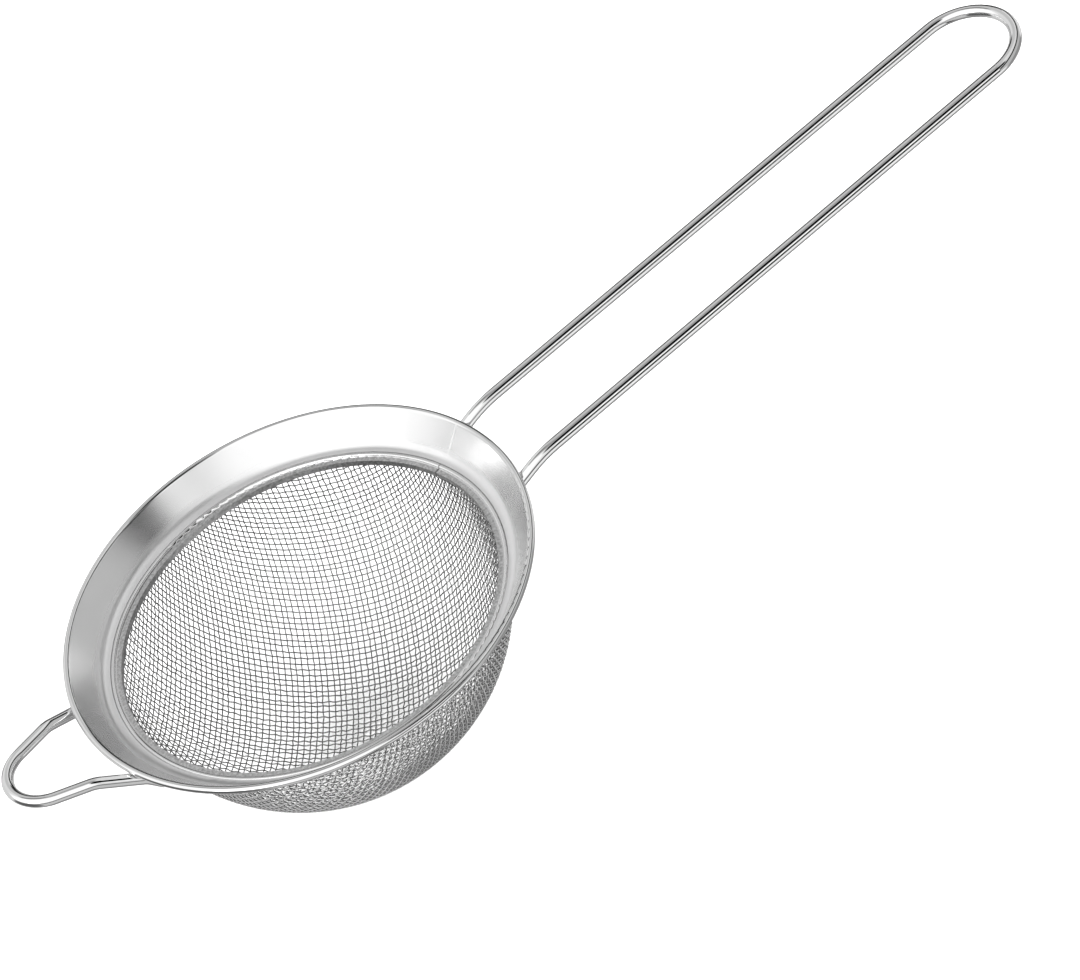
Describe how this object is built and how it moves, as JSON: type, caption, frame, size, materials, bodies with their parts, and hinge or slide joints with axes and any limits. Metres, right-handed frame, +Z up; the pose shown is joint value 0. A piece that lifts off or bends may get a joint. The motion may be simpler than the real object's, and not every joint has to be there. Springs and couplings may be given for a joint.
{
  "type": "hand strainer",
  "caption": "Hand strainer: hemispherical woven-mesh bowl in a flared sheet collar, with a long U-shaped wire handle and a short wire rest loop opposite it",
  "frame": {"origin": "lowest point of the bowl, on the bowl's axis", "axes": "+Z up along the bowl's axis, towards the open rim; +X from the axis along the handle; +Y completes a right-handed frame, with the rest loop on -X"},
  "size_m": [0.3116, 0.12, 0.0677],
  "materials": {
    "polished_sheet": "polished",
    "satin_strip": "satin",
    "woven_mesh": "drawn wire",
    "polished_wire": "polished",
    "weld_metal": "dull"
  },
  "bodies": {
    "root": {"rim_collar": "polished_sheet", "collar_seam": "weld_metal", "clamp_ring": "satin_strip", "mesh_bowl": "woven_mesh", "handle_loop": "polished_wire", "rest_loop": "polished_wire", "handle_welds": "weld_metal", "rest_welds": "weld_metal"}
  },
  "joints": []
}
